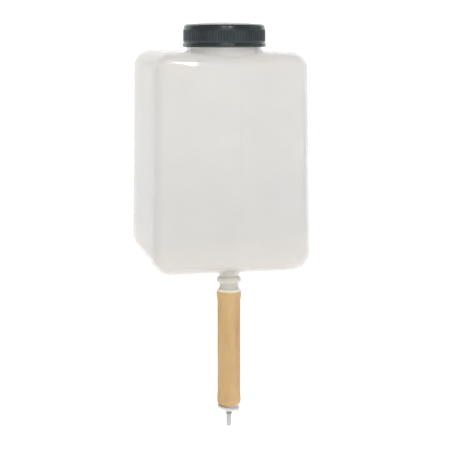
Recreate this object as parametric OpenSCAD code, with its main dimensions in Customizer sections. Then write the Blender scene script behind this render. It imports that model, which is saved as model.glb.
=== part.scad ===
// Gravity feeding bottle: a blow-moulded tank with a wide screw cap, a moulded
// outlet spout, a squeezable latex tube and a self-closing nozzle plug.
// Origin: middle of the tank's flat underside. +Z is up, -Y is the front.

/* [Tank] */
// Height of the tank body, underside to shoulder
tank_h = 159; // [140:1:190]
// Width at the foot
tank_w_foot = 117; // [110:1:130]
// Width at the shoulder
tank_w_top = 112; // [106:1:126]
// Depth at the foot
tank_d_foot = 121; // [114:1:134]
// Depth at the shoulder
tank_d_top = 119; // [112:1:130]
// Wall thickness of the tank
wall = 1.8; // [1.4:0.1:2.4]
// Radius of the four upright edges
edge_r = 9; // [7:0.5:12]
// Radius where the sides turn into the shoulder
shoulder_r = 12.5; // [11:0.5:14]
// Radius where the sides turn into the underside
foot_r = 15.5; // [14:0.5:17]

/* [Neck and cap] */
// How far the neck stands in front of the middle
neck_fwd = 26; // [22:1:28]
// Outside diameter of the plain neck
neck_d = 54; // [53:0.5:55]
// Outside diameter of the cap at its skirt
cap_d = 60.3; // [60:0.1:62]
// Overall height of the cap, crown included
cap_h = 17.4; // [17:0.2:20]
// Gap between the shoulder and the cap's rim
cap_gap = 3.6; // [3:0.1:6]
// Rise of the screw thread in one turn
thread_pitch = 4.2333; // [4:0.1:4.4]
// Turns of thread on the neck and in the cap
thread_turns = 1.25; // [1:0.25:1.5]
// Number of grip ribs round the cap
rib_count = 90; // [60:6:120]

/* [Spout and latex tube] */
// How far the spout stands in front of the middle
spout_fwd = 42.5; // [38:0.5:44]
// Outside diameter of the spout
spout_d = 13.8; // [13.6:0.1:14.2]
// Bore of the spout
spout_bore = 9; // [8.6:0.2:9.4]
// Depth of the tube's upper end below the underside
tube_top = 12.4; // [12:0.2:14]
// Length of the latex tube
tube_len = 87; // [76:1:100]
// Outside diameter of the latex tube
tube_d = 17; // [16.8:0.1:17.6]
// Bore of the latex tube where nothing stretches it
tube_bore = 13; // [12.6:0.1:13]

/* [Nozzle plug] */
// Diameter of the plug's flange
flange_d = 16.8; // [16:0.2:18]
// Angle at which the flange sits askew under the tube
flange_tilt = 8; // [0:1:8]
// Diameter of the valve stem
stem_d = 3.5; // [3.2:0.1:3.8]
// How far the stem shows below the plug's nose
stem_out = 9.6; // [8:0.2:12]

/* [Hidden] */
$fn = 72;

// Steps in each quarter round of the tank's lofted skin
ROUND_STEPS = 8;
// Share of the level's inset by which the upright edge's radius shrinks
EDGE_SHRINK = 0.6;
// Angle of each arc that the screw thread is built from
THREAD_ARC = 15;
// Depth by which joined shapes run into each other
JOIN = 0.4;

NECK_R = neck_d / 2;
NECK_BORE_R = NECK_R - 2.3;
RIM_Z = tank_h + cap_gap;
CROWN_T = 1.6;
CROWN_RISE = 1.2;
LINER_T = 1.1;
VENT_D = 1.6;
CAP_EDGE_R = 2.6;
CAP_SIDE_TOP = RIM_Z + cap_h - CROWN_RISE;
CAP_ROOF_Z = CAP_SIDE_TOP - CROWN_T;
NECK_TOP = CAP_ROOF_Z - LINER_T;
CAP_R = cap_d / 2;
CAP_RIB_ROOT_R = CAP_R - 0.75;
RIB_R = 0.42;
SKIRT_H = 2.9;
CAP_INNER_R = NECK_R + 1.55;
THREAD_H = 1.1;
THREAD_BASE = 2.3;
THREAD_CREST = 1.0;
THREAD_Z0 = NECK_TOP - 2.4 - thread_pitch * thread_turns;

BEAD_Z = -5.6;
BEAD_H = 5;
BEAD_D = 18.1;
SPOUT_END = -(tube_top + 17);
SPOUT_R = spout_d / 2;
BORE_R = spout_bore / 2;
SPOUT_FLARE = 0.45;
FLARE_TOP = -(tube_top - 1.8);
FLARE_END = -(tube_top + 3.4);
FLARE_TAPER = 5.7;
TAIL_R = SPOUT_R - 0.35;
SEAT_TOP = -4;
SEAT_LEN = 5;
SEAT_HOLE_R = 2.3;
INLET_BALL_R = 3.175;
CAGE_TOP = -17.6;
CAGE_LEN = 4;
CAGE_BAR = 1.2;
INLET_BALL_Z = CAGE_TOP + INLET_BALL_R;

TUBE_END = -(tube_top + tube_len);
TUBE_R = tube_d / 2;
TUBE_BORE_R = tube_bore / 2;
TUBE_GAP = 0.02;
STRETCH = 0.67;
SWELL = 0.25;

PLUG_LEN = 16.5;
PLUG_R = 6.5;
PLUG_BARB = 0.35;
PLUG_TOP = TUBE_END + PLUG_LEN;
CHAMBER_R = 5;
CHAMBER_FLOOR = TUBE_END - 0.6;
FLANGE_T = 1.8;
FLANGE_DROP = 1.5;
FLANGE_MID = TUBE_END - FLANGE_DROP - FLANGE_T / 2;
CONE_H = 3.7;
CONE_TIP = FLANGE_MID - CONE_H;
CONE_RUN = 1.65;
NOSE_LEN = 1.7;
NOSE_R = 2.3;
STEM_R = stem_d / 2;
STEM_HOLE_R = STEM_R + 0.15;
SEAT2_LEN = 3.2;
SEAT2_HOLE_R = 2.8;
HEAD_R = 4;
SEAL_DROP = 0.5;
HEAD_TOP = PLUG_TOP - SEAT2_LEN - SEAL_DROP;
HEAD_H = 1.6;
SEAL_R = 0.7;
SEAL_RING_R = 3.2;
STEM_TIP = CONE_TIP - NOSE_LEN - stem_out;
SPRING_WIRE_R = 0.22;
SPRING_R = 2.9;
SPRING_TURNS = 5;
SPRING_STEPS = 16;

function body_w(z) = tank_w_foot + (tank_w_top - tank_w_foot) * z / tank_h;
function body_d(z) = tank_d_foot + (tank_d_top - tank_d_foot) * z / tank_h;

// Levels of the tank's skin as [height, inset], moved inwards by t
function levels(t) = concat(
    [for (i = [0 : ROUND_STEPS]) let (a = 90 * i / ROUND_STEPS, r = foot_r - t)
        [t + r - r * cos(a), r - r * sin(a)]],
    [for (i = [0 : ROUND_STEPS]) let (a = 90 * i / ROUND_STEPS, r = shoulder_r - t)
        [tank_h - t - r + r * sin(a), r - r * cos(a)]]);

// One level's outline: a rectangle with rounded corners
function outline(z, inset, t) =
    let (hw = body_w(z) / 2 - inset - t,
         hd = body_d(z) / 2 - inset - t,
         r = max(edge_r - t - inset * EDGE_SHRINK, 1))
    [for (q = [0 : 3], i = [0 : ROUND_STEPS])
        let (a = 90 * q + 90 * i / ROUND_STEPS,
             sx = (q == 0 || q == 3) ? 1 : -1,
             sy = q < 2 ? 1 : -1)
        [sx * (hw - r) + r * cos(a), sy * (hd - r) + r * sin(a), z]];

// Side faces between successive rings of n points, and the two end faces
function skin_faces(rings, n) = concat(
    [[for (i = [0 : n - 1]) i]],
    [for (k = [0 : rings - 2], i = [0 : n - 1])
        let (a = k * n + i, b = k * n + (i + 1) % n) [a, a + n, b]],
    [for (k = [0 : rings - 2], i = [0 : n - 1])
        let (a = k * n + i, b = k * n + (i + 1) % n) [b, a + n, b + n]],
    [[for (i = [n - 1 : -1 : 0]) (rings - 1) * n + i]]);

module tank_solid(t) {
    lv = levels(t);
    polyhedron(points = [for (l = lv) each outline(l[0], l[1], t)],
        faces = skin_faces(len(lv), 4 * (ROUND_STEPS + 1)), convexity = 6);
}

// Screw thread as short arcs, each a little higher than the last; side is 1 for
// a ridge that stands outwards from root_r, -1 for one that stands inwards
module thread_ridge(root_r, z0, side) {
    base = THREAD_BASE / 2;
    crest = THREAD_CREST / 2;
    for (i = [0 : 360 * thread_turns / THREAD_ARC - 1])
        rotate([0, 0, THREAD_ARC * i])
            translate([0, 0, z0 + thread_pitch * THREAD_ARC * i / 360])
                rotate_extrude(angle = THREAD_ARC + 0.5) polygon([
                    [root_r - side * JOIN, -base], [root_r - side * JOIN, base],
                    [root_r + side * THREAD_H, crest], [root_r + side * THREAD_H, -crest]]);
}

module bead() {
    translate([0, 0, BEAD_Z]) rotate_extrude()
        intersection() {
            translate([SPOUT_R - JOIN, -BEAD_H / 2]) square([BEAD_D / 2, BEAD_H]);
            translate([BEAD_D / 2 - BEAD_H / 2, 0]) circle(r = BEAD_H / 2, $fn = 32);
        }
}

module spout() {
    tip = SPOUT_END;
    rotate_extrude() polygon([
        [0, wall], [SPOUT_R + 1.5, wall], [SPOUT_R + 1.5, 0], [SPOUT_R, -1.5],
        [SPOUT_R, FLARE_TOP], [SPOUT_R + SPOUT_FLARE, -tube_top], [SPOUT_R + SPOUT_FLARE, FLARE_END],
        [TAIL_R, FLARE_END - FLARE_TAPER], [TAIL_R, tip + 0.8], [TAIL_R - 0.8, tip], [0, tip]]);
    bead();
}

module neck() {
    translate([0, 0, tank_h - wall])
        cylinder(r = NECK_R, h = NECK_TOP - tank_h + wall);
    translate([0, 0, tank_h - 0.05]) rotate_extrude()
        difference() {
            square([NECK_R + 1.6, 1.6]);
            translate([NECK_R + 1.6, 1.65]) circle(r = 1.6, $fn = 32);
        }
    thread_ridge(NECK_R, THREAD_Z0, 1);
}

module tank() {
    color([0.92, 0.91, 0.88, 0.6])
    difference() {
        union() {
            difference() {
                tank_solid(0);
                tank_solid(wall);
            }
            translate([0, -neck_fwd, 0]) neck();
            translate([0, -spout_fwd, 0]) spout();
        }
        translate([0, -neck_fwd, tank_h - 8]) cylinder(r = NECK_BORE_R, h = 40);
        translate([0, -spout_fwd, SPOUT_END - 1]) cylinder(r = BORE_R, h = wall - SPOUT_END + 4);
    }
}

// Outside of the cap: skirt band, ribbed grip, smooth shoulder and low crown
module cap_outside() {
    dome_half = CAP_RIB_ROOT_R - CAP_EDGE_R;
    translate([0, 0, RIM_Z]) cylinder(r = CAP_R, h = SKIRT_H);
    translate([0, 0, RIM_Z]) cylinder(r = CAP_RIB_ROOT_R, h = CAP_SIDE_TOP - CAP_EDGE_R - RIM_Z);
    translate([0, 0, CAP_SIDE_TOP - CAP_EDGE_R]) rotate_extrude()
        union() {
            square([dome_half, CAP_EDGE_R]);
            intersection() {
                translate([dome_half, 0]) circle(r = CAP_EDGE_R, $fn = 48);
                square([CAP_R, CAP_EDGE_R]);
            }
        }
    translate([0, 0, CAP_SIDE_TOP - 0.01])
        cylinder(r1 = dome_half, r2 = dome_half * 0.55, h = CROWN_RISE);
    for (i = [0 : rib_count - 1])
        rotate([0, 0, 360 * i / rib_count])
            translate([CAP_RIB_ROOT_R, 0, RIM_Z + SKIRT_H - 0.3])
                cylinder(r = RIB_R, h = CAP_SIDE_TOP - CAP_EDGE_R - RIM_Z - SKIRT_H - 0.8, $fn = 8);
}

module cap_shell() {
    color([0.2, 0.24, 0.27])
    translate([0, -neck_fwd, 0]) {
        difference() {
            cap_outside();
            translate([0, 0, RIM_Z - 1]) cylinder(r = CAP_INNER_R, h = CAP_ROOF_Z - RIM_Z + 1);
            translate([0, 0, CAP_ROOF_Z - 1]) cylinder(d = VENT_D, h = 10, $fn = 32);
        }
        thread_ridge(CAP_INNER_R, THREAD_Z0 - thread_pitch / 2, -1);
    }
}

module cap_liner() {
    color([0.93, 0.93, 0.9])
    translate([0, -neck_fwd, NECK_TOP])
        difference() {
            cylinder(r = CAP_INNER_R - 0.25, h = LINER_T);
            translate([0, 0, -1]) cylinder(d = VENT_D, h = LINER_T + 2, $fn = 32);
        }
}

module inlet_seat() {
    color([0.85, 0.85, 0.83])
    translate([0, -spout_fwd, SEAT_TOP - SEAT_LEN])
        difference() {
            cylinder(r = BORE_R, h = SEAT_LEN);
            translate([0, 0, -1]) cylinder(r = SEAT_HOLE_R, h = SEAT_LEN + 2);
            translate([0, 0, -0.01]) cylinder(r1 = SEAT_HOLE_R + 1.2, r2 = SEAT_HOLE_R, h = 1.2);
        }
}

module inlet_ball() {
    color([0.95, 0.95, 0.95])
    translate([0, -spout_fwd, INLET_BALL_Z]) sphere(r = INLET_BALL_R);
}

// Open ring with two crossed bars that keep the ball from dropping out
module inlet_cage() {
    color([0.85, 0.85, 0.83])
    translate([0, -spout_fwd, CAGE_TOP - CAGE_LEN]) {
        difference() {
            cylinder(r = BORE_R, h = CAGE_LEN);
            translate([0, 0, -1]) cylinder(r = BORE_R - 0.9, h = CAGE_LEN + 2);
        }
        for (a = [0, 90])
            rotate([0, 0, a])
                translate([-(BORE_R - 0.6), -CAGE_BAR / 2, CAGE_LEN - 1.6])
                    cube([2 * (BORE_R - 0.6), CAGE_BAR, 1.6]);
    }
}

module latex_tube() {
    top = -tube_top;
    flare_r = SPOUT_R + SPOUT_FLARE + TUBE_GAP;
    grip_r = TAIL_R + TUBE_GAP;
    hold_r = PLUG_R + PLUG_BARB + TUBE_GAP;
    color([0.82, 0.67, 0.47])
    translate([0, -spout_fwd, 0]) rotate_extrude() polygon([
        [flare_r, top], [flare_r, FLARE_END], [grip_r, FLARE_END - FLARE_TAPER],
        [grip_r, SPOUT_END], [TUBE_BORE_R, SPOUT_END - 0.5],
        [TUBE_BORE_R, PLUG_TOP + 1], [hold_r, PLUG_TOP], [hold_r, TUBE_END],
        [TUBE_R - 0.75, TUBE_END], [TUBE_R - 0.2, TUBE_END + 1.2], [TUBE_R + SWELL, TUBE_END + 2.6],
        [TUBE_R + SWELL, TUBE_END + 5], [TUBE_R, TUBE_END + 10],
        [TUBE_R, FLARE_END - FLARE_TAPER], [TUBE_R + STRETCH, FLARE_END - 0.2],
        [TUBE_R + STRETCH, top - 2.7], [TUBE_R + 0.5, top - 1.9], [TUBE_R - 0.1, top - 0.6],
        [TUBE_R - 0.75, top]]);
}

// Plug outside: barbed sleeve, flange set slightly askew, funnel under it and nose
module nozzle_outside() {
    sleeve = FLANGE_MID - PLUG_TOP;
    funnel = CONE_H + FLANGE_T;
    translate([0, 0, PLUG_TOP]) rotate_extrude() polygon([
        [0, 0], [PLUG_R - 0.9, 0], [PLUG_R + PLUG_BARB, -2.4], [PLUG_R, -2.8], [PLUG_R, -5.2],
        [PLUG_R + PLUG_BARB, -7.6], [PLUG_R, -8], [PLUG_R, sleeve], [0, sleeve]]);
    translate([0, 0, TUBE_END]) rotate([0, flange_tilt, 0])
        translate([0, 0, -FLANGE_DROP - FLANGE_T]) cylinder(d = flange_d, h = FLANGE_T);
    intersection() {
        translate([0, 0, CONE_TIP])
            cylinder(r1 = NOSE_R, r2 = NOSE_R + CONE_RUN * funnel, h = funnel);
        translate([0, 0, TUBE_END]) rotate([0, flange_tilt, 0])
            translate([0, 0, -FLANGE_DROP - FLANGE_T / 2 - 3 * CONE_H])
                cylinder(d = flange_d - 0.1, h = 3 * CONE_H);
    }
    translate([0, 0, CONE_TIP - NOSE_LEN]) cylinder(r = NOSE_R, h = NOSE_LEN + JOIN);
}

module nozzle_body() {
    color([0.9, 0.89, 0.86])
    translate([0, -spout_fwd, 0])
        difference() {
            nozzle_outside();
            translate([0, 0, CHAMBER_FLOOR])
                cylinder(r = CHAMBER_R, h = PLUG_TOP - CHAMBER_FLOOR + 1);
            translate([0, 0, CONE_TIP - 3])
                cylinder(r = STEM_HOLE_R, h = CHAMBER_FLOOR - CONE_TIP + 4, $fn = 48);
        }
}

module outlet_seat() {
    color([0.86, 0.85, 0.82])
    translate([0, -spout_fwd, PLUG_TOP - SEAT2_LEN])
        difference() {
            cylinder(r = CHAMBER_R, h = SEAT2_LEN);
            translate([0, 0, -1]) cylinder(r = SEAT2_HOLE_R, h = SEAT2_LEN + 2);
            translate([0, 0, -0.01]) cylinder(r1 = SEAT2_HOLE_R + 1, r2 = SEAT2_HOLE_R, h = 1);
        }
}

module valve_stem() {
    color([0.84, 0.84, 0.83])
    translate([0, -spout_fwd, 0])
        difference() {
            union() {
                translate([0, 0, STEM_TIP + STEM_R])
                    cylinder(r = STEM_R, h = HEAD_TOP - STEM_TIP - STEM_R, $fn = 48);
                translate([0, 0, STEM_TIP + STEM_R]) sphere(r = STEM_R, $fn = 48);
                translate([0, 0, HEAD_TOP - HEAD_H]) cylinder(r = HEAD_R, h = HEAD_H);
            }
            translate([0, 0, HEAD_TOP]) rotate_extrude()
                translate([SEAL_RING_R, 0]) circle(r = SEAL_R, $fn = 32);
        }
}

module stem_seal() {
    color([0.2, 0.2, 0.2])
    translate([0, -spout_fwd, HEAD_TOP]) rotate_extrude()
        translate([SEAL_RING_R, 0]) circle(r = SEAL_R, $fn = 32);
}

// Closed-end compression spring, as one swept polyhedron
module valve_spring() {
    lo = CHAMBER_FLOOR + SPRING_WIRE_R + 0.02;
    hi = HEAD_TOP - HEAD_H - SPRING_WIRE_R - 0.02;
    count = SPRING_TURNS * SPRING_STEPS;
    sides = 8;
    pts = [for (i = [0 : count], k = [0 : sides - 1])
        let (a = 360 * i / SPRING_STEPS,
             b = 360 * k / sides,
             r = SPRING_R + SPRING_WIRE_R * cos(b),
             z = lo + (hi - lo) * i / count + SPRING_WIRE_R * sin(b))
        [r * cos(a), r * sin(a), z]];
    color([0.75, 0.76, 0.78])
    translate([0, -spout_fwd, 0])
        polyhedron(points = pts, faces = skin_faces(count + 1, sides), convexity = 10);
}

tank();
cap_shell();
cap_liner();
inlet_seat();
inlet_ball();
inlet_cage();
latex_tube();
nozzle_body();
outlet_seat();
valve_stem();
stem_seal();
valve_spring();
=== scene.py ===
"""Looks for the gravity feeding bottle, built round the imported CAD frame. Lengths are in metres."""
from math import atan2, cos, hypot, pi, radians, sin, sqrt

import bmesh
import bpy
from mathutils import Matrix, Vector, noise


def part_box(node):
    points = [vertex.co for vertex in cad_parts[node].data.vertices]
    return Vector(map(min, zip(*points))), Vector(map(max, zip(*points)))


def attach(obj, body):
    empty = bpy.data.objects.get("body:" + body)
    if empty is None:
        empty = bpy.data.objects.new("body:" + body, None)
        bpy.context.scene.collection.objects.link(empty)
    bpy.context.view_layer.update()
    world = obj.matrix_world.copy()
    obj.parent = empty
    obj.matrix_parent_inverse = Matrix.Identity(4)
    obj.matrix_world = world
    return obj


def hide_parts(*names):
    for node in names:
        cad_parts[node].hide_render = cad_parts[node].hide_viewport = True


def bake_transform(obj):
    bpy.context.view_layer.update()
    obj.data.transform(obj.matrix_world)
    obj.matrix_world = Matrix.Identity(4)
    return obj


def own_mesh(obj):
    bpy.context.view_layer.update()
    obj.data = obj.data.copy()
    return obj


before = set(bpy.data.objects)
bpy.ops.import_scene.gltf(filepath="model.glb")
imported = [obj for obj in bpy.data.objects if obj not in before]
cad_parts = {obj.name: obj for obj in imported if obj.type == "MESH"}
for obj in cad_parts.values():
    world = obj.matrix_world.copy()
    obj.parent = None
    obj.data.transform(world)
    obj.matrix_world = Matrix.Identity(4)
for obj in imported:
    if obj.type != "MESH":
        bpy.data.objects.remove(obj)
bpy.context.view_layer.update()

MM = 0.001

# ---------------------------------------------------------------- places taken from the frame

TANK_LO, TANK_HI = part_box("tank")
CAP_LO, CAP_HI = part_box("cap_shell")
TUBE_LO, TUBE_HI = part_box("latex_tube")
PLUG_LO, PLUG_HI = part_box("nozzle_body")
STEM_LO, STEM_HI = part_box("valve_stem")
SPRING_LO, SPRING_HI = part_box("valve_spring")

NECK_Y = (CAP_LO[1] + CAP_HI[1]) / 2
SPOUT_Y = (TUBE_LO[1] + TUBE_HI[1]) / 2
RIM_Z = CAP_LO[2]
NECK_TOP = TANK_HI[2]
SPOUT_TIP = TANK_LO[2]
CAP_GAP = 3.6 * MM
TANK_TOP = RIM_Z - CAP_GAP

# ---------------------------------------------------------------- driving sizes

WALL = 1.8 * MM
EDGE_R = 9 * MM
EDGE_SHRINK = 0.6
SHOULDER_R = 12.5 * MM
FOOT_R = 15.5 * MM
WIDTH_TAPER = 5 * MM
DEPTH_TAPER = 2 * MM
WIDTH_FOOT = TANK_HI[0] - TANK_LO[0] + WIDTH_TAPER * FOOT_R / TANK_TOP
DEPTH_FOOT = TANK_HI[1] - TANK_LO[1] + DEPTH_TAPER * FOOT_R / TANK_TOP
WIDTH_TOP = WIDTH_FOOT - WIDTH_TAPER
DEPTH_TOP = DEPTH_FOOT - DEPTH_TAPER
NECK_R = 27 * MM
NECK_BORE_R = NECK_R - 2.3 * MM
SPOUT_R = 6.9 * MM
SPOUT_FLARE = 0.45 * MM
TAIL_R = SPOUT_R - 0.35 * MM
SPOUT_BORE_R = 4.5 * MM
PITCH = 4.2333 * MM
THREAD_TURNS = 1.25
THREAD_H = 1.1 * MM
THREAD_BASE = 1.15 * MM
THREAD_CREST = 0.5 * MM
THREAD_FADE = 0.06
THREAD_Z0 = NECK_TOP - 2.4 * MM - PITCH * THREAD_TURNS
CAP_R = (CAP_HI[0] - CAP_LO[0]) / 2
CAP_BORE_R = NECK_R + 1.55 * MM
RIBS = 90
NECK_FILLET = 3 * MM


# ---------------------------------------------------------------- mesh helpers

def mesh_object(name, verts, faces, smooth_angle=40):
    """A mesh object whose faces point outwards, smooth, with sharp edges above the given angle."""
    mesh = bpy.data.meshes.new(name)
    mesh.from_pydata(verts, [], faces)
    mesh.validate()
    work = bmesh.new()
    work.from_mesh(mesh)
    bmesh.ops.recalc_face_normals(work, faces=work.faces)
    work.to_mesh(mesh)
    work.free()
    mesh.update()
    obj = bpy.data.objects.new(name, mesh)
    bpy.context.scene.collection.objects.link(obj)
    for poly in mesh.polygons:
        poly.use_smooth = True
    mesh.set_sharp_from_angle(angle=radians(smooth_angle))
    return obj


def loft(rings, wrap=False):
    """Vertices and quads through rings of equal length; wrap joins the last ring to the first."""
    n = len(rings[0])
    verts = [p for ring in rings for p in ring]
    faces = []
    for k in range(len(rings) if wrap else len(rings) - 1):
        m = (k + 1) % len(rings)
        for i in range(n):
            j = (i + 1) % n
            faces.append((k * n + i, k * n + j, m * n + j, m * n + i))
    return verts, faces


def circle(r, z, y=0.0, n=64):
    """A level circle round (0, y)."""
    return [(r * cos(2 * pi * i / n), y + r * sin(2 * pi * i / n), z) for i in range(n)]


def end_caps(verts, n):
    """The two faces that close an open loft whose rings have n points."""
    return [tuple(reversed(range(n))), tuple(range(len(verts) - n, len(verts)))]


def arc_points(cx, cz, r, a0, a1, steps):
    """Points of a profile arc as (radius, height), angles in degrees."""
    angles = [radians(a0 + (a1 - a0) * i / steps) for i in range(steps + 1)]
    return [(cx + r * cos(a), cz + r * sin(a)) for a in angles]


def smoothstep(t):
    """0 to 1 with level ends."""
    t = min(max(t, 0.0), 1.0)
    return t * t * (3 - 2 * t)


def thread_height(angle, z, z0, direction):
    """Height of a screw thread's ridge over its root at an angle (radians) and a height z."""
    best = 0.0
    turn = (angle / (2 * pi)) % 1.0
    while turn <= THREAD_TURNS:
        centre = z0 + PITCH * turn
        away = abs(z - centre)
        rise = (THREAD_BASE - away) / (THREAD_BASE - THREAD_CREST)
        ends = min(turn, THREAD_TURNS - turn) / THREAD_FADE
        best = max(best, min(max(rise, 0.0), 1.0) * smoothstep(ends))
        turn += 1.0
    return direction * THREAD_H * best


# ---------------------------------------------------------------- tank

SIDE_POINTS = 26
CORNER_POINTS = 14
SEAM_X = 5 * MM
SEAM_HALF = 0.45 * MM
SEAM_H = 0.06 * MM
WAIST = 0.25 * MM
BARREL = 0.2 * MM
SHOULDER_BOW = 2.0 * MM
RIPPLE = 0.16 * MM
RIPPLE_SCALE = 38
BOW_FROM = 0.62
BOW_OVER = 0.3
MORPH_EASE = 1.4


def half_size(z, t):
    """Half width and half depth of the tank at a height, moved in by t."""
    f = z / TANK_TOP
    return ((WIDTH_FOOT + (WIDTH_TOP - WIDTH_FOOT) * f) / 2 - SEAM_H - t,
            (DEPTH_FOOT + (DEPTH_TOP - DEPTH_FOOT) * f) / 2 - SEAM_H - t)


def corner_radius(inset, t):
    """Radius of the upright edges at a level that is moved in by inset."""
    return max(EDGE_R - t - EDGE_SHRINK * inset, 0.2 * MM)


def front_stations(a, b):
    """Places along the front side, with three extra ones on the mould's parting line."""
    even = [a + (b - a) * i / (SIDE_POINTS - 5) for i in range(SIDE_POINTS - 5)]
    extra = [SEAM_X + d * SEAM_HALF for d in (-2, -1, 0, 1, 2)]
    return sorted(even + extra)


def tank_outline(z, inset, t):
    """A level of the tank: rounded rectangle, starting at the right side's front corner."""
    hw, hd = half_size(z, t)
    hw, hd = hw - inset, hd - inset
    r = corner_radius(inset, t)
    x0, y0 = hw - r, hd - r
    steps = [i / SIDE_POINTS for i in range(SIDE_POINTS)]
    sides = [[(hw, y0 * (2 * f - 1)) for f in steps],
             [(x0 * (1 - 2 * f), hd) for f in steps],
             [(-hw, y0 * (1 - 2 * f)) for f in steps],
             [(x, -hd) for x in front_stations(-x0, x0)]]
    centres = [(x0, y0), (-x0, y0), (-x0, -y0), (x0, -y0)]
    pts = []
    for q in range(4):
        pts += sides[q]
        for i in range(CORNER_POINTS):
            a = pi / 2 * q + pi / 2 * i / CORNER_POINTS
            pts.append((centres[q][0] + r * cos(a), centres[q][1] + r * sin(a)))
    return [(x, y, z) for x, y in pts]


def inset_at(x, y, z, t):
    """How far a point lies inside the tank's widest outline, by the rule of tank_outline."""
    hw, hd = half_size(z, t)
    u, v = hw - abs(x), hd - abs(y)
    r, k = EDGE_R - t, EDGE_SHRINK
    s = min(u, v)
    m = 1 - k
    # Near an upright edge the level's corner arc goes through the point: a quadratic in the inset.
    if max(u, v) < r + m * s:
        a = 2 * m * m - k * k
        b = 2 * m * (2 * r - u - v) + 2 * k * r
        c = (r - u) ** 2 + (r - v) ** 2 - r * r
        root = max(b * b - 4 * a * c, 0.0)
        s = min(s, max((-b + sqrt(root)) / (2 * a), 0.0))
    return max(s, 0.0)


def underside_z(x, y, t):
    """Height of the foot's rounding, or of the flat underside, at a point."""
    r = FOOT_R - t
    gap = r - min(inset_at(x, y, 0.0, t), r)
    return t + r - sqrt(r * r - gap * gap)


def shoulder_z(x, y, t):
    """Height of the shoulder's rounding, or of the flat top, at a point."""
    r = SHOULDER_R - t
    gap = r - min(inset_at(x, y, TANK_TOP, t), r)
    return TANK_TOP - t - r + sqrt(r * r - gap * gap)


def morph(outline, cy, r, surface, steps, even):
    """Rings across a face from an outline to a circle round (0, cy), lying on surface(x, y)."""
    n = len(outline)
    base = atan2(outline[0][1] - cy, outline[0][0])
    targets = []
    for i, (x, y, _) in enumerate(outline):
        own = (atan2(y - cy, x) - base) % (2 * pi) if i else 0.0
        angle = base + own * (1 - even) + 2 * pi * i / n * even
        targets.append((r * cos(angle), cy + r * sin(angle)))
    rings = []
    for k in range(1, steps + 1):
        f = (k / steps) ** MORPH_EASE
        ring = []
        for (x, y, _), (tx, ty) in zip(outline, targets):
            px, py = x + (tx - x) * f, y + (ty - y) * f
            ring.append((px, py, surface(px, py)))
        rings.append(ring)
    return rings


def ring_at(ring, cy, radius, z):
    """The ring's own angles round (0, cy) at a radius and a height, each a number or a function."""
    out = []
    for x, y, z0 in ring:
        a = atan2(y - cy, x)
        r = radius(a) if callable(radius) else radius
        out.append((r * cos(a), cy + r * sin(a), z(z0) if callable(z) else z))
    return out


def shell_rings(t, neck_r, spout_r):
    """One skin of the tank from the spout's root circle up to the neck's root circle."""
    foot, shoulder = FOOT_R - t, SHOULDER_R - t
    rings = []
    for i in range(9):
        a = radians(52 + 38 * i / 8)
        rings.append(tank_outline(t + foot * (1 - cos(a)), foot * (1 - sin(a)), t))
    low, high = t + foot, TANK_TOP - t - shoulder
    for i in range(1, 30):
        rings.append(tank_outline(low + (high - low) * i / 30, 0.0, t))
    for i in range(8):
        a = radians(33 * i / 7)
        rings.append(tank_outline(high + shoulder * sin(a), shoulder * (1 - cos(a)), t))
    under = morph(rings[0], SPOUT_Y, spout_r, lambda x, y: underside_z(x, y, t), 30, 0.45)
    over = morph(rings[-1], NECK_Y, neck_r, lambda x, y: shoulder_z(x, y, t), 30, 0.3)
    return under[::-1] + rings + over


def shape_skin(rings, outer):
    """Blown walls aren't flat: a barrel, a waist, a bow under the shoulder, a ripple, the parting line."""
    shaped = []
    for ring in rings:
        out = []
        for x, y, z in ring:
            hw, hd = half_size(z, 0.0)
            fx, fy = min(abs(x / hw), 1.0), min(abs(y / hd), 1.0)
            up = min(max(z / TANK_TOP, 0.0), 1.0)
            waist = WAIST * sin(pi * up) ** 2
            blend = smoothstep((z - 2 * MM) / (10 * MM))
            blend *= smoothstep((TANK_TOP - 1 * MM - z) / (12 * MM))
            wave = RIPPLE * (0.5 + 0.5 * noise.noise(Vector((x, y, z)) * RIPPLE_SCALE))
            bow = BARREL + SHOULDER_BOW * smoothstep((up - BOW_FROM) / BOW_OVER)
            sx = 1 - (BARREL * fy ** 2 + waist + wave) * blend * fx / hw
            sy = 1 - (bow * fx ** 2 + waist * 0.6 + wave) * blend * fy / hd
            seam = 0.0
            if outer and y < -0.9 * hd:
                seam = SEAM_H * smoothstep(1 - abs(x - SEAM_X) / SEAM_HALF / 2) * blend
            out.append((x * sx, y * sy - seam, z))
        shaped.append(out)
    return shaped


def spout_profile():
    """Outside of the spout from its tip up to the underside as (radius, height)."""
    tube_top = TUBE_HI[2]
    bead_r, bead_z = 2.45 * MM, -5.6 * MM
    bead_out = 9.0 * MM
    bead = arc_points(bead_out - bead_r, bead_z, bead_r, -80, 80, 14)
    flare = SPOUT_R + SPOUT_FLARE
    return ([(TAIL_R - 1.1 * MM, SPOUT_TIP), (TAIL_R - 0.8 * MM, SPOUT_TIP + 0.1 * MM),
             (TAIL_R, SPOUT_TIP + 0.9 * MM), (TAIL_R, tube_top - 9.1 * MM),
             (flare - 0.05 * MM, tube_top - 3.6 * MM), (flare, tube_top - 3.3 * MM),
             (flare, tube_top), (flare - 0.12 * MM, tube_top + 0.5 * MM),
             (SPOUT_R + 0.08 * MM, tube_top + 1.5 * MM), (SPOUT_R, tube_top + 2 * MM),
             (SPOUT_R, -8.6 * MM)]
            + bead + [(SPOUT_R, -2.6 * MM), (SPOUT_R + 0.3 * MM, -1.2 * MM)])


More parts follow.
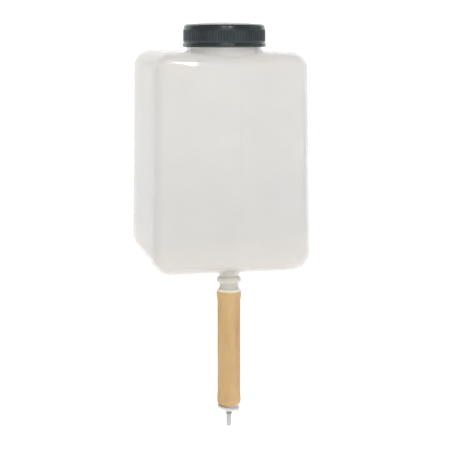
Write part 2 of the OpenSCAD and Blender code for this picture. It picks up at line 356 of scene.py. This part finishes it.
def tank_body():
    """The whole bottle in one skin: spout, underside, sides, shoulder, neck, and back down inside."""
    root_r = SPOUT_R + 1.4 * MM
    neck_root = NECK_R + NECK_FILLET
    outer = shape_skin(shell_rings(0.0, neck_root, root_r), True)
    first, last = outer[0], outer[-1]
    rings = [ring_at(first, SPOUT_Y, r, z) for r, z in spout_profile()]
    rings += outer
    fillet_top = TANK_TOP + NECK_FILLET
    for i in range(1, 9):
        a = pi / 2 * i / 8
        rings.append(ring_at(last, NECK_Y, neck_root - NECK_FILLET * sin(a),
                             lambda z0, a=a: z0 + (fillet_top - z0) * (1 - cos(a))))
    steps = 46
    for i in range(1, steps + 1):
        z = fillet_top + (NECK_TOP - 0.5 * MM - fillet_top) * i / steps
        rings.append(ring_at(last, NECK_Y, lambda a, z=z: NECK_R + thread_height(a, z, THREAD_Z0, 1), z))
    rings.append(ring_at(last, NECK_Y, NECK_R - 0.15 * MM, NECK_TOP - 0.12 * MM))
    rings.append(ring_at(last, NECK_Y, NECK_R - 0.5 * MM, NECK_TOP))
    rings.append(ring_at(last, NECK_Y, NECK_BORE_R + 0.4 * MM, NECK_TOP))
    rings.append(ring_at(last, NECK_Y, NECK_BORE_R, NECK_TOP - 0.4 * MM))
    inner = shape_skin(shell_rings(WALL, NECK_BORE_R + 1.0 * MM, SPOUT_BORE_R + 1.0 * MM), False)
    rings.append(ring_at(inner[-1], NECK_Y, NECK_BORE_R, TANK_TOP + 1 * MM))
    rings.append(ring_at(inner[-1], NECK_Y, NECK_BORE_R + 0.2 * MM, TANK_TOP - WALL + 0.4 * MM))
    rings += inner[::-1]
    rings.append(ring_at(inner[0], SPOUT_Y, SPOUT_BORE_R + 0.2 * MM, WALL - 0.6 * MM))
    rings.append(ring_at(inner[0], SPOUT_Y, SPOUT_BORE_R, WALL - 1.4 * MM))
    rings.append(ring_at(inner[0], SPOUT_Y, SPOUT_BORE_R, SPOUT_TIP + 0.2 * MM))
    rings.append(ring_at(inner[0], SPOUT_Y, SPOUT_BORE_R + 0.2 * MM, SPOUT_TIP))
    verts, faces = loft(rings, wrap=True)
    return mesh_object("tank_body", verts, faces, smooth_angle=50)


# ---------------------------------------------------------------- cap

def cap_body():
    """Ribbed screw cap: skirt band, fine grip ribs, rounded shoulder, low crown with a vent hole."""
    n = RIBS * 6
    crown_h = 1.2 * MM
    side_top = CAP_HI[2] - crown_h
    edge = 2.6 * MM
    root = CAP_R - 0.75 * MM
    rib_low, rib_high = RIM_Z + 3.4 * MM, side_top - edge - 0.9 * MM
    roof = side_top - 1.6 * MM
    vent_r = 0.8 * MM
    rib_h = 0.36 * MM

    def outside(angle, r, z):
        fade = smoothstep((z - rib_low) / (0.5 * MM)) * smoothstep((rib_high - z) / (0.5 * MM))
        wave = abs(cos(angle * RIBS / 2)) ** 1.6
        return r + rib_h * fade * wave

    profile = [(CAP_R - 0.9 * MM, RIM_Z), (CAP_R - 0.25 * MM, RIM_Z + 0.05 * MM),
               (CAP_R, RIM_Z + 0.3 * MM), (CAP_R - 0.05 * MM, RIM_Z + 1.4 * MM),
               (CAP_R - 0.12 * MM, RIM_Z + 2.5 * MM), (CAP_R - 0.35 * MM, RIM_Z + 2.9 * MM),
               (root, RIM_Z + 3.1 * MM)]
    profile += [(root, rib_low + (rib_high - rib_low) * i / 12) for i in range(13)]
    profile += [(root, rib_high + 0.4 * MM)]
    profile += arc_points(root - edge, side_top - edge, edge, 0, 84, 10)
    crown = root - edge
    profile += [(crown * (1 - f), side_top + crown_h * smoothstep(f * 1.6))
                for f in (0.06, 0.14, 0.25, 0.4, 0.6, 0.8, 0.93)]
    profile += [(vent_r + 0.15 * MM, CAP_HI[2]), (vent_r, CAP_HI[2] - 0.15 * MM), (vent_r, roof)]
    rings = []
    for r, z in profile:
        ring = []
        for i in range(n):
            a = 2 * pi * i / n
            rr = outside(a, r, z)
            ring.append((rr * cos(a), NECK_Y + rr * sin(a), z))
        rings.append(ring)
    rings += [circle(r, roof, NECK_Y, n=n) for r in (CAP_BORE_R * 0.5, CAP_BORE_R - 0.6 * MM)]
    steps = 34
    for i in range(steps + 1):
        z = roof - 0.5 * MM + (RIM_Z + 0.5 * MM - roof + 0.5 * MM) * i / steps
        ring = []
        for k in range(n):
            a = 2 * pi * k / n
            r = CAP_BORE_R + thread_height(a, z, THREAD_Z0 - PITCH / 2, -1)
            ring.append((r * cos(a), NECK_Y + r * sin(a), z))
        rings.append(ring)
    rings.append(circle(CAP_BORE_R + 0.3 * MM, RIM_Z, NECK_Y, n=n))
    verts, faces = loft(rings, wrap=True)
    return mesh_object("cap_body", verts, faces, smooth_angle=50)


# ---------------------------------------------------------------- latex tube

def tube_body():
    """Latex tube: flared over the spout's barb, swollen over the plug, with a rounded lip at the top."""
    top, bottom = TUBE_HI[2], TUBE_LO[2]
    plug_top = PLUG_HI[2]
    outer_r, bore_r, hold_r = 8.42 * MM, 6.5 * MM, 6.87 * MM
    flare_r, grip_r = SPOUT_R + SPOUT_FLARE + 0.02 * MM, TAIL_R + 0.02 * MM
    flare_h, swell_h, grain_h = 0.66 * MM, 0.24 * MM, 0.05 * MM
    n, steps = 64, 110

    def outside(z):
        flare = flare_h * (1 - smoothstep((top - z - 3.6 * MM) / (6.2 * MM)))
        swell = swell_h * (1 - smoothstep((z - bottom - 4 * MM) / (6 * MM)))
        return outer_r + flare + swell

    def inside(z):
        down = top - z - 3.4 * MM
        if down < 0:
            return flare_r
        if z > SPOUT_TIP:
            return max(flare_r - (flare_r - grip_r) * down / (5.7 * MM), grip_r)
        if z > plug_top + 1 * MM:
            return bore_r
        return min(bore_r + (hold_r - bore_r) * (plug_top + 1 * MM - z) / (1 * MM), hold_r)

    heights = [top - (top - bottom) * i / steps for i in range(steps + 1)]
    cut, lip = 0.9 * MM, 1.35 * MM
    rings = [circle(outside(top) - lip - 0.1 * MM, top, SPOUT_Y, n=n)]
    for z in heights[1:-1]:
        foot = cut * max(1 - (z - bottom) / (2.4 * MM), 0.0) ** 1.5
        foot += lip * max(1 - (top - z) / (2.8 * MM), 0.0) ** 2
        ring = []
        for i in range(n):
            a = 2 * pi * i / n
            grain = grain_h * noise.noise(Vector((cos(a), sin(a), z * 60)))
            r = outside(z) + grain - foot
            ring.append((r * cos(a), SPOUT_Y + r * sin(a), z))
        rings.append(ring)
    rings.append(circle(outside(bottom) - cut - 0.1 * MM, bottom, SPOUT_Y, n=n))
    rings.append(circle(hold_r + 0.1 * MM, bottom, SPOUT_Y, n=n))
    rings += [circle(inside(z), z, SPOUT_Y, n=n) for z in reversed(heights[1:-1])]
    rings.append(circle(flare_r + 0.1 * MM, top, SPOUT_Y, n=n))
    verts, faces = loft(rings, wrap=True)
    obj = mesh_object("latex_tube_body", verts, faces)
    # Upward faces at the cut top take a pale cream material: painted sheen where the rim faces up.
    for poly in obj.data.polygons:
        poly.material_index = 1 if poly.center.z > top - 1.7 * MM and poly.normal.z > 0.3 else 0
    return obj


# ---------------------------------------------------------------- nozzle

def tilted(points, pivot_z, angle):
    """Points turned about the line along Y at x = 0 and the height pivot_z, right side down."""
    c, s = cos(angle), sin(angle)
    return [(x * c + (z - pivot_z) * s, y, pivot_z - x * s + (z - pivot_z) * c) for x, y, z in points]


def nozzle_plug():
    """Barbed sleeve, askew flange, upright funnel under it and a short nose, in one closed skin."""
    n = 72
    tube_end, top = TUBE_LO[2], PLUG_HI[2]
    tilt = radians(8)
    sleeve_r, chamber_r, hole_r, nose_r = 6.5 * MM, 5 * MM, 1.88 * MM, 2.15 * MM
    flange_r, flange_top, thick = 8.36 * MM, tube_end - 1.5 * MM, 1.8 * MM
    under = flange_top - thick
    nose_tip, nose_top = PLUG_LO[2], PLUG_LO[2] + 1.7 * MM
    floor = tube_end - 0.6 * MM
    cone_run = 1.65
    rings = [circle(chamber_r, floor, SPOUT_Y, n=n), circle(chamber_r, top - 0.2 * MM, SPOUT_Y, n=n),
             circle(chamber_r + 0.2 * MM, top, SPOUT_Y, n=n), circle(sleeve_r - 0.9 * MM, top, SPOUT_Y, n=n)]
    barbs_mm = ((6.83, 2.3), (6.83, 2.5), (6.5, 2.8), (6.5, 5.2), (6.83, 7.5), (6.83, 7.7), (6.5, 8.0),
                (6.5, 12), (6.5, 16.3))
    rings += [circle(r * MM, top - drop * MM, SPOUT_Y, n=n) for r, drop in barbs_mm]
    skirt = [circle(sleeve_r + 0.15 * MM, flange_top, SPOUT_Y, n=n),
             circle(flange_r - 0.6 * MM, flange_top, SPOUT_Y, n=n)]
    corner = 0.55 * MM
    for z, a0, a1 in ((flange_top - corner, 80, 0), (under + corner, 0, -80)):
        skirt += [circle(r, h, SPOUT_Y, n=n) for r, h in arc_points(flange_r - corner, z, corner, a0, a1, 5)]
    skirt.append(circle(flange_r - 0.7 * MM, under, SPOUT_Y, n=n))
    skirt = [tilted(ring, tube_end, tilt) for ring in skirt]
    rings += skirt
    steps = 18
    for k in range(1, steps + 1):
        f = k / steps
        ring = []
        for i, (x0, y0, _) in enumerate(skirt[-1]):
            a = 2 * pi * i / n
            x = x0 + (nose_r * cos(a) - x0) * f
            y = y0 + (SPOUT_Y + nose_r * sin(a) - y0) * f
            flat = tilted([(x, y, under)], tube_end, tilt)[0][2]
            funnel = nose_top + (hypot(x, y - SPOUT_Y) - nose_r) / cone_run
            ring.append((x, y, min(flat, funnel)))
        rings.append(ring)
    rings += [circle(nose_r, nose_tip + 0.15 * MM, SPOUT_Y, n=n),
              circle(nose_r - 0.1 * MM, nose_tip, SPOUT_Y, n=n),
              circle(hole_r + 0.08 * MM, nose_tip, SPOUT_Y, n=n),
              circle(hole_r, nose_tip + 0.1 * MM, SPOUT_Y, n=n), circle(hole_r, floor, SPOUT_Y, n=n)]
    verts, faces = loft(rings, wrap=True)
    obj = mesh_object("nozzle_plug", verts, faces, smooth_angle=35)
    # The nose under the funnel takes a dark grey material: painted shade where the stem leaves the plug under
    # the flange.
    for poly in obj.data.polygons:
        poly.material_index = 1 if poly.center.z < nose_top + 0.3 * MM else 0
    return obj


def stem_pin():
    """Valve stem with its head and seal groove, and a round lower end."""
    n = 48
    pin_r = 1.75 * MM
    tip, head_top = STEM_LO[2], STEM_HI[2]
    head_r, head_h = 4 * MM, 1.6 * MM
    profile = arc_points(0, tip + pin_r, pin_r, -88, 0, 12)
    profile += [(pin_r, tip + 6 * MM), (pin_r, head_top - head_h - 0.4 * MM),
                (pin_r + 0.3 * MM, head_top - head_h)]
    profile += [(head_r - 0.2 * MM, head_top - head_h), (head_r, head_top - head_h + 0.2 * MM),
                (head_r, head_top - 0.2 * MM), (head_r - 0.05 * MM, head_top)]
    groove = arc_points(3.2 * MM, head_top, 0.7 * MM, 0, -180, 12)
    profile += groove + [(1.0 * MM, head_top), (0.1 * MM, head_top)]
    verts, faces = loft([circle(r, z, SPOUT_Y, n=n) for r, z in profile])
    return mesh_object("stem_pin", verts, faces + end_caps(verts, n))


def spring_coil():
    """Round-wire compression spring in the plug."""
    wire = 0.22 * MM
    coil_r = 2.9 * MM
    turns, per_turn, sides = 5, 40, 12
    lo, hi = SPRING_LO[2] + wire, SPRING_HI[2] - wire
    rings = []
    for i in range(turns * per_turn + 1):
        a = 2 * pi * i / per_turn
        f = i / (turns * per_turn)
        z = lo + (hi - lo) * f
        rings.append([((coil_r + wire * cos(b)) * cos(a), SPOUT_Y + (coil_r + wire * cos(b)) * sin(a),
                       z + wire * sin(b)) for b in [2 * pi * k / sides for k in range(sides)]])
    verts, faces = loft(rings)
    return mesh_object("spring_coil", verts, faces + end_caps(verts, sides))


# ---------------------------------------------------------------- materials

class Nodes:
    """A material's node tree with short helpers."""

    def __init__(self, name):
        self.mat = bpy.data.materials.new(name)
        self.mat.use_nodes = True
        self.tree = self.mat.node_tree
        self.shader = self.tree.nodes["Principled BSDF"]
        coords = self.tree.nodes.new("ShaderNodeTexCoord")
        self.coords = coords.outputs["Object"]

    def set(self, **values):
        for name, value in values.items():
            self.shader.inputs[name.replace("_", " ")].default_value = value
        return self

    def noise(self, scale, detail=3.0, rough=0.5, stretch=(1, 1, 1)):
        mapping = self.tree.nodes.new("ShaderNodeMapping")
        mapping.inputs["Scale"].default_value = stretch
        self.tree.links.new(self.coords, mapping.inputs["Vector"])
        tex = self.tree.nodes.new("ShaderNodeTexNoise")
        tex.inputs["Scale"].default_value = scale
        tex.inputs["Detail"].default_value = detail
        tex.inputs["Roughness"].default_value = rough
        self.tree.links.new(mapping.outputs["Vector"], tex.inputs["Vector"])
        return tex.outputs["Fac"]

    def ramp(self, value, stops):
        node = self.tree.nodes.new("ShaderNodeValToRGB")
        ramp = node.color_ramp
        while len(ramp.elements) < len(stops):
            ramp.elements.new(0.5)
        for element, (place, colour) in zip(ramp.elements, stops):
            element.position = place
            element.color = (*colour, 1.0) if len(colour) == 3 else colour
        self.tree.links.new(value, node.inputs["Fac"])
        return node.outputs["Color"]

    def spread(self, value, lo, hi, out_lo, out_hi):
        node = self.tree.nodes.new("ShaderNodeMapRange")
        for name, number in (("From Min", lo), ("From Max", hi), ("To Min", out_lo), ("To Max", out_hi)):
            node.inputs[name].default_value = number
        self.tree.links.new(value, node.inputs["Value"])
        return node.outputs["Result"]

    def times(self, first, second):
        """The product of two colours."""
        node = self.tree.nodes.new("ShaderNodeMixRGB")
        node.blend_type = "MULTIPLY"
        node.inputs["Fac"].default_value = 1.0
        self.tree.links.new(first, node.inputs["Color1"])
        self.tree.links.new(second, node.inputs["Color2"])
        return node.outputs["Color"]

    def height(self):
        """The object's own height as a value."""
        split = self.tree.nodes.new("ShaderNodeSeparateXYZ")
        self.tree.links.new(self.coords, split.inputs["Vector"])
        return split.outputs["Z"]

    def link(self, value, socket):
        self.tree.links.new(value, self.shader.inputs[socket])
        return self

    def bump(self, value, strength, distance):
        node = self.tree.nodes.new("ShaderNodeBump")
        node.inputs["Strength"].default_value = strength
        node.inputs["Distance"].default_value = distance
        self.tree.links.new(value, node.inputs["Height"])
        self.tree.links.new(node.outputs["Normal"], self.shader.inputs["Normal"])
        return self


def polyethylene(name, low, high, alpha, subsurface, depth, shade_zones=None):
    """Milky natural polyethylene: soft gloss, faint clouding, a fine orange-peel skin.
    shade_zones are (height, tint) pairs from the bottom up: painted light and shade, the spout darker in the
    tank's shadow, a grey band low on the sides where the shaded back and bottom show through, lighter towards
    the top; the spout's warmth is partly its thicker wall's own tint."""
    m = Nodes(name)
    m.set(Roughness=0.34, IOR=1.5, Alpha=alpha, Subsurface_Weight=subsurface, Subsurface_Scale=depth,
          Specular_IOR_Level=0.2, Coat_Weight=0.7, Coat_Roughness=0.035)
    m.shader.inputs["Subsurface Radius"].default_value = (1.0, 0.92, 0.8)
    colour = m.ramp(m.noise(24, 4), [(0.3, low), (0.7, high)])
    if shade_zones:
        # The height tints are painted light and shade: the spout darker and warmer in the tank's shadow, a
        # grey band low on the sides, lighter towards the top.
        lo, hi = shade_zones[0][0], shade_zones[-1][0]
        along = m.spread(m.height(), lo, hi, 0.0, 1.0)
        colour = m.times(colour, m.ramp(along, [((z - lo) / (hi - lo), tint) for z, tint in shade_zones]))
        m.link(m.spread(m.height(), -3 * MM, 2 * MM, 0.8, alpha), "Alpha")
    m.link(colour, "Base Color")
    m.link(m.spread(m.noise(70, 3), 0.3, 0.7, 0.28, 0.4), "Roughness")
    m.bump(m.noise(520, 2), 0.06, 0.15 * MM)
    return m.mat


def moulded(name, low, high, rough_lo, rough_hi, grain=900, coat=0.0):
    """Moulded plastic: slight colour drift, uneven gloss, fine grain."""
    m = Nodes(name)
    m.set(IOR=1.48, Coat_Weight=coat, Coat_Roughness=0.08)
    m.link(m.ramp(m.noise(60, 3), [(0.3, low), (0.7, high)]), "Base Color")
    m.link(m.spread(m.noise(180, 4), 0.3, 0.7, rough_lo, rough_hi), "Roughness")
    m.bump(m.noise(grain, 3), 0.1, 0.08 * MM)
    return m.mat


def latex(name, dark, mid, light, rough):
    """Gum latex: drawn lengthwise streaks, cloudy amber, satin skin."""
    m = Nodes(name)
    m.set(IOR=1.5, Specular_IOR_Level=0.2, Subsurface_Weight=0.25, Subsurface_Scale=2 * MM)
    m.shader.inputs["Subsurface Radius"].default_value = (1.0, 0.55, 0.25)
    cloud = m.noise(90, 5, 0.6, stretch=(1, 1, 0.35))
    m.link(m.ramp(cloud, [(0.28, dark), (0.5, mid), (0.74, light)]), "Base Color")
    m.link(m.spread(m.noise(260, 4), 0.3, 0.7, rough - 0.07, rough + 0.1), "Roughness")
    m.bump(m.noise(700, 4, 0.6, stretch=(1, 1, 0.2)), 0.22, 0.12 * MM)
    return m.mat


def rubber(name):
    """Black nitrile: matt and slightly uneven."""
    m = Nodes(name)
    m.set(IOR=1.5)
    m.link(m.ramp(m.noise(300, 4), [(0.3, (0.02, 0.02, 0.02)), (0.7, (0.05, 0.05, 0.05))]), "Base Color")
    m.link(m.spread(m.noise(500, 3), 0.3, 0.7, 0.45, 0.65), "Roughness")
    m.bump(m.noise(1500, 3), 0.2, 0.04 * MM)
    return m.mat


def drawn_steel(name):
    """Drawn stainless wire: bright, with a fine uneven gloss."""
    m = Nodes(name)
    m.set(Metallic=1.0)
    m.link(m.ramp(m.noise(400, 3), [(0.3, (0.52, 0.52, 0.53)), (0.7, (0.68, 0.68, 0.69))]), "Base Color")
    m.link(m.spread(m.noise(900, 3), 0.3, 0.7, 0.2, 0.36), "Roughness")
    m.bump(m.noise(2500, 2), 0.15, 0.02 * MM)
    return m.mat


# Painted light and shade by height: the spout darker and warmer in the tank's shadow (its warmth partly the
# thicker wall's own tint), a grey band from 30 to 54 mm where the shaded back and bottom show through,
# lighter towards the top.
TANK_SHADE_ZONES = [(-31 * MM, (0.93, 0.89, 0.82)), (-3 * MM, (0.95, 0.91, 0.84)), (1 * MM, (0.98, 0.945, 0.91)),
              (16 * MM, (0.98, 0.95, 0.92)), (30 * MM, (0.91, 0.915, 0.91)), (54 * MM, (0.92, 0.925, 0.925)),
              (92 * MM, (0.985, 0.98, 0.97)), (158 * MM, (1.0, 0.985, 0.965))]
TANK_MAT = polyethylene("tank_polyethylene", (0.75, 0.74, 0.725), (0.79, 0.78, 0.765), 0.42, 0.5, 4 * MM,
                        shade_zones=TANK_SHADE_ZONES)
CAP_MAT = moulded("cap_slate", (0.007, 0.015, 0.019), (0.011, 0.022, 0.026), 0.22, 0.32, coat=0.4)
LINER_MAT = moulded("liner_foam", (0.80, 0.80, 0.76), (0.88, 0.88, 0.85), 0.6, 0.75, grain=2200)
VALVE_MAT = moulded("valve_plastic", (0.74, 0.73, 0.69), (0.82, 0.81, 0.78), 0.35, 0.5)
LATEX_MAT = latex("latex_amber", (0.54, 0.345, 0.155), (0.615, 0.41, 0.20), (0.675, 0.47, 0.25), 0.5)
# Pale cream for the tube's upward cut rim: painted sheen on the amber latex.
CUT_SHEEN_MAT = latex("latex_cut_face_sheen", (0.80, 0.70, 0.52), (0.86, 0.78, 0.62), (0.9, 0.84, 0.7), 0.6)
NOZZLE_MAT = polyethylene("nozzle_polyethylene", (0.60, 0.585, 0.54), (0.68, 0.665, 0.62), 1.0, 0.3, 1.5 * MM)
# Dark grey for the nozzle's nose: painted shade under the funnel where the stem comes out.
SHADED_NOSE_MAT = moulded("nozzle_nose_painted_shade", (0.26, 0.26, 0.25), (0.33, 0.33, 0.32), 0.3, 0.45)
STEM_MAT = moulded("stem_plastic", (0.52, 0.52, 0.51), (0.58, 0.58, 0.57), 0.25, 0.4)
SEAL_MAT = rubber("seal_nitrile")
STEEL_MAT = drawn_steel("spring_wire")


# ---------------------------------------------------------------- pieces on their bodies

def place(obj, body, node, slot, *materials):
    """Gives a piece its materials and its body, and hides the CAD node that it stands for; slot is not used.
    """
    for mat in materials:
        obj.data.materials.append(mat)
    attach(obj, body)
    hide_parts(node)


def dress(node, mat):
    """A CAD node that stays keeps its mesh and takes a finished material."""
    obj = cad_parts[node]
    for i in range(len(obj.material_slots)):
        obj.material_slots[i].material = mat


place(tank_body(), "tank", "tank", "tank_plastic", TANK_MAT)
place(cap_body(), "cap", "cap_shell", "cap_plastic", CAP_MAT)
place(nozzle_plug(), "nozzle", "nozzle_body", "nozzle_plastic", NOZZLE_MAT, SHADED_NOSE_MAT)
place(stem_pin(), "valve", "valve_stem", "stem_plastic", STEM_MAT)

spring = spring_coil()
place(spring, "nozzle", "valve_spring", "spring_steel", STEEL_MAT)
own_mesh(spring)

tube = tube_body()
tube.data.materials.append(LATEX_MAT)
tube.data.materials.append(CUT_SHEEN_MAT)
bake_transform(tube)
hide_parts("latex_tube")

dress("cap_liner", LINER_MAT)
for node in ("inlet_seat", "inlet_ball", "inlet_cage", "outlet_seat"):
    dress(node, VALVE_MAT)
dress("stem_seal", SEAL_MAT)


# ---------------------------------------------------------------- floor, light, camera

FLOOR_Z = -0.32
FLOOR_GLOW = 0.55
SURROUND_GLOW = 0.6
WORLD_GLOW = 0.42
LIGHT_AIM = (0, -0.03, 0.06)


def glow(name, strength):
    """White that gives off a little light of its own."""
    m = Nodes(name)
    m.set(Roughness=0.9, Emission_Strength=strength)
    m.shader.inputs["Emission Color"].default_value = (1, 1, 1, 1)
    m.link(m.ramp(m.noise(3), [(0.3, (0.86, 0.86, 0.86)), (0.7, (0.9, 0.9, 0.9))]), "Base Color")
    return m.mat


def floor_and_backdrop():
    """A pale floor that curves up into a backdrop far behind the object."""
    z0, front, back, half, bend = FLOOR_Z, -4.0, 3.0, 5.0, 1.2
    profile = [(front, z0), (back - bend, z0)]
    profile += [(back - bend + bend * sin(a), z0 + bend * (1 - cos(a)))
                for a in [pi / 2 * i / 16 for i in range(1, 17)]]
    profile += [(back, z0 + 5.0)]
    verts = [(x, y, z) for y, z in profile for x in (-half, half)]
    faces = [(2 * i, 2 * i + 1, 2 * i + 3, 2 * i + 2) for i in range(len(profile) - 1)]
    obj = mesh_object("studio_floor", verts, faces)
    obj.data.materials.append(glow("studio_white", FLOOR_GLOW))


def surround():
    """A white wall all round, which only the camera sees, so that every view has a plain background."""
    n, r = 96, 6.5
    verts, faces = loft([circle(r, -1.0, n=n), circle(r, 7.0, n=n)])
    obj = mesh_object("studio_surround", verts, faces)
    obj.data.materials.append(glow("surround_white", SURROUND_GLOW))
    obj.visible_diffuse = False
    obj.visible_glossy = False
    obj.visible_transmission = False
    obj.visible_shadow = False


def area_light(name, place_at, size, watts):
    """A square lamp that points at the object."""
    data = bpy.data.lights.new(name, "AREA")
    data.energy = watts
    data.size = size
    obj = bpy.data.objects.new(name, data)
    bpy.context.scene.collection.objects.link(obj)
    obj.location = place_at
    obj.rotation_euler = (Vector(LIGHT_AIM) - Vector(place_at)).to_track_quat("-Z", "Y").to_euler()


CAMERA_YAW = radians(11.8)
CAMERA_PITCH = radians(8.3)
CAMERA_AWAY = 0.937
CAMERA_AIM = Vector((6.4 * MM, -12.2 * MM, 43.8 * MM))
LENS = 98.25


def camera():
    """A long lens, to the left of the front and level with the top of the cap."""
    data = bpy.data.cameras.new("camera")
    data.lens = LENS
    data.sensor_width = 36
    data.shift_y = -0.05
    data.clip_end = 50
    obj = bpy.data.objects.new("camera", data)
    bpy.context.scene.collection.objects.link(obj)
    level = cos(CAMERA_PITCH)
    look = Vector((sin(CAMERA_YAW) * level, cos(CAMERA_YAW) * level, -sin(CAMERA_PITCH)))
    obj.location = CAMERA_AIM - look * CAMERA_AWAY
    obj.rotation_euler = look.to_track_quat("-Z", "Y").to_euler()
    bpy.context.scene.camera = obj


def studio():
    """Even white surroundings, two small lamps for highlights, and two large soft ones."""
    world = bpy.data.worlds.new("studio")
    bpy.context.scene.world = world
    world.use_nodes = True
    background = world.node_tree.nodes["Background"]
    background.inputs["Color"].default_value = (1, 1, 1, 1)
    background.inputs["Strength"].default_value = WORLD_GLOW
    bpy.context.scene.view_settings.view_transform = "Standard"
    area_light("key", (0.12, -0.99, 0.89), 0.045, 3.0)
    area_light("glint", (-0.15, -0.76, 1.12), 0.05, 2.2)
    area_light("fill", (-0.1, -1.4, 0.4), 0.9, 2.7)
    area_light("rim", (1.2, -0.2, 0.7), 0.8, 0.8)


floor_and_backdrop()
surround()
studio()
camera()
